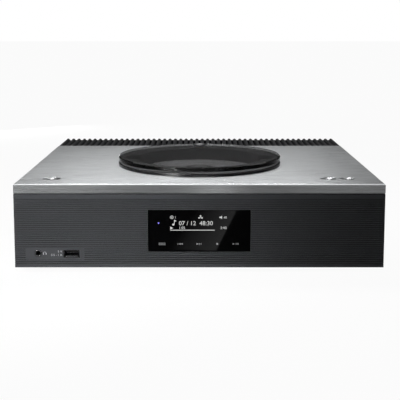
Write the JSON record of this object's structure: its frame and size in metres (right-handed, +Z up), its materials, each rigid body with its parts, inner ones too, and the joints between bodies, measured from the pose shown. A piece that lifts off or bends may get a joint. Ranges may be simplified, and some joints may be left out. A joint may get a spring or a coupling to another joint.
{
  "type": "cd receiver",
  "caption": "Low CD receiver: brushed aluminium top, disc well under a smoked clear lid that swings aside, metal top buttons, grooved front with a black window, and a finned rear grille.",
  "frame": {"origin": "on the ground plane under the middle of the cabinet's width and of its depth with the rear terminals", "axes": "+X right, +Y back, +Z up; the front panel faces -Y"},
  "size_m": [0.34, 0.341, 0.094],
  "materials": {
    "chassis_black": "black painted steel",
    "front_graphite": "satin graphite paint",
    "side_graphite": "satin graphite paint",
    "rear_black": "matt black paint",
    "brushed_plate": "brushed along the width, bright chamfers",
    "grille_dark": "dark satin casting",
    "foot_rubber": "matt rubber",
    "screw_steel": "plated steel",
    "window_black": "polished black acrylic",
    "display_black": "dark panel",
    "board_green": "circuit board",
    "board_brown": "circuit board",
    "socket_black": "moulded plastic",
    "socket_metal": "plated shell",
    "tongue_plastic": "moulded plastic",
    "button_metal": "spun, dished face",
    "lid_smoke": "smoked clear acrylic",
    "pivot_steel": "ground steel",
    "cap_metal": "dark anodised",
    "bush_brass": "turned brass",
    "well_black": "fine matt plastic",
    "bed_grey": "fine matt plastic, grey",
    "ring_dark": "dark satin ring",
    "turntable_black": "moulded plastic",
    "pad_rubber": "soft rubber",
    "motor_steel": "drawn steel can",
    "drive_steel": "zinc plated sheet",
    "gear_white": "moulded gear plastic",
    "lens_glass": "coated lens",
    "component_dark": "capacitors, chip and transformer",
    "sink_aluminium": "dark anodised extrusion",
    "post_gold": "gold plated",
    "knob_red": "clear red tinted plastic",
    "knob_black": "black plastic"
  },
  "bodies": {
    "cabinet": {"bottom_chassis": "chassis_black", "front_panel": "front_graphite", "left_side_panel": "side_graphite", "right_side_panel": "side_graphite", "rear_panel": "rear_black", "top_plate": "brushed_plate", "vent_grille": "grille_dark", "feet": "foot_rubber", "screws": "screw_steel", "display_window": "window_black", "display_module": "display_black", "front_boards": "board_green", "headphone_jack": "socket_black", "usb_shell": "socket_metal", "usb_tongue": "tongue_plastic", "key_boards": "board_green", "pivot_bush": "bush_brass", "disc_well": "well_black", "disc_bed": "bed_grey", "well_trim_ring": "ring_dark", "spindle_motor": "motor_steel", "drive_chassis": "drive_steel", "damper_grommets": "pad_rubber", "guide_rails": "pivot_steel", "feed_motor": "motor_steel", "main_board": "board_green", "power_board": "board_brown", "board_components": "component_dark", "amp_heat_sink": "sink_aluminium", "ac_inlet": "socket_black", "phono_sockets": "socket_metal", "lan_socket": "socket_metal", "aerial_socket": "socket_metal", "speaker_posts": "post_gold"},
    "lid": {"lid_disc": "lid_smoke", "lid_pivot_shaft": "pivot_steel", "lid_pivot_cap": "cap_metal", "lid_retaining_clip": "pivot_steel", "lid_stop_arm": "pivot_steel"},
    "power_key": {"power_button": "button_metal"},
    "volume_down_key": {"volume_down_button": "button_metal"},
    "volume_up_key": {"volume_up_button": "button_metal"},
    "spindle": {"turntable": "turntable_black", "turntable_pad": "pad_rubber", "spindle_shaft": "pivot_steel"},
    "sled": {"pickup_sled": "turntable_black", "feed_rack": "gear_white"},
    "lens": {"lens_holder": "turntable_black", "objective_lens": "lens_glass"},
    "feed_gear": {"feed_wheel": "gear_white", "feed_pinion": "gear_white"},
    "motor_gear": {"motor_pinion": "bush_brass"},
    "washer_1": {"post_washer_1": "post_gold"},
    "knob_1": {"post_knob_1": "knob_red"},
    "washer_2": {"post_washer_2": "post_gold"},
    "knob_2": {"post_knob_2": "knob_black"},
    "washer_3": {"post_washer_3": "post_gold"},
    "knob_3": {"post_knob_3": "knob_red"},
    "washer_4": {"post_washer_4": "post_gold"},
    "knob_4": {"post_knob_4": "knob_black"}
  },
  "joints": [
    {"name": "lid_swing", "type": "hinge", "parent": "cabinet", "child": "lid", "pos_m": [0, 0.0269, 0.09], "axis": [0, 0, 1], "range_deg": [0, 146]},
    {"name": "spindle_spin", "type": "hinge", "parent": "cabinet", "child": "spindle", "pos_m": [0, -0.0491, 0.075], "axis": [0, 0, 1], "continuous": true},
    {"name": "sled_slide", "type": "slide", "parent": "cabinet", "child": "sled", "axis": [1, 0, 0], "range_m": [0, 0.033]},
    {"name": "feed_turn", "type": "hinge", "parent": "cabinet", "child": "feed_gear", "pos_m": [0.04, -0.01831, 0.07], "axis": [0, 0, 1], "range_deg": [0, 450.2]},
    {"name": "motor_turn", "type": "hinge", "parent": "cabinet", "child": "motor_gear", "pos_m": [0.02701, -0.01081, 0.07], "axis": [0, 0, 1], "range_deg": [-1800.8, 0]},
    {"name": "lens_focus", "type": "slide", "parent": "sled", "child": "lens", "axis": [0, 0, 1], "range_m": [-0.0004, 0.0004], "stiffness_N_per_m": 60},
    {"name": "power_press", "type": "slide", "parent": "cabinet", "child": "power_key", "axis": [0, 0, -1], "range_m": [0, 0.0006], "stiffness_N_per_m": 1000},
    {"name": "volume_down_press", "type": "slide", "parent": "cabinet", "child": "volume_down_key", "axis": [0, 0, -1], "range_m": [0, 0.0006], "stiffness_N_per_m": 1000},
    {"name": "volume_up_press", "type": "slide", "parent": "cabinet", "child": "volume_up_key", "axis": [0, 0, -1], "range_m": [0, 0.0006], "stiffness_N_per_m": 1000},
    {"name": "post_1_travel", "type": "slide", "parent": "cabinet", "child": "washer_1", "axis": [0, 1, 0], "range_m": [0, 0.004]},
    {"name": "post_1_turn", "type": "hinge", "parent": "washer_1", "child": "knob_1", "pos_m": [-0.098, 0.163, 0.0392], "axis": [0, 1, 0], "range_deg": [0, 1440.1]},
    {"name": "post_2_travel", "type": "slide", "parent": "cabinet", "child": "washer_2", "axis": [0, 1, 0], "range_m": [0, 0.004]},
    {"name": "post_2_turn", "type": "hinge", "parent": "washer_2", "child": "knob_2", "pos_m": [-0.078, 0.163, 0.0392], "axis": [0, 1, 0], "range_deg": [0, 1440.1]},
    {"name": "post_3_travel", "type": "slide", "parent": "cabinet", "child": "washer_3", "axis": [0, 1, 0], "range_m": [0, 0.004]},
    {"name": "post_3_turn", "type": "hinge", "parent": "washer_3", "child": "knob_3", "pos_m": [-0.058, 0.163, 0.0392], "axis": [0, 1, 0], "range_deg": [0, 1440.1]},
    {"name": "post_4_travel", "type": "slide", "parent": "cabinet", "child": "washer_4", "axis": [0, 1, 0], "range_m": [0, 0.004]},
    {"name": "post_4_turn", "type": "hinge", "parent": "washer_4", "child": "knob_4", "pos_m": [-0.038, 0.163, 0.0392], "axis": [0, 1, 0], "range_deg": [0, 1440.1]}
  ],
  "couplings": [
    {"joint": "feed_turn", "follows": "sled_slide", "rad_per_m": 238.1},
    {"joint": "motor_turn", "follows": "sled_slide", "rad_per_m": -952.38},
    {"joint": "post_1_turn", "follows": "post_1_travel", "rad_per_m": 6283.2},
    {"joint": "post_2_turn", "follows": "post_2_travel", "rad_per_m": 6283.2},
    {"joint": "post_3_turn", "follows": "post_3_travel", "rad_per_m": 6283.2},
    {"joint": "post_4_turn", "follows": "post_4_travel", "rad_per_m": 6283.2}
  ]
}
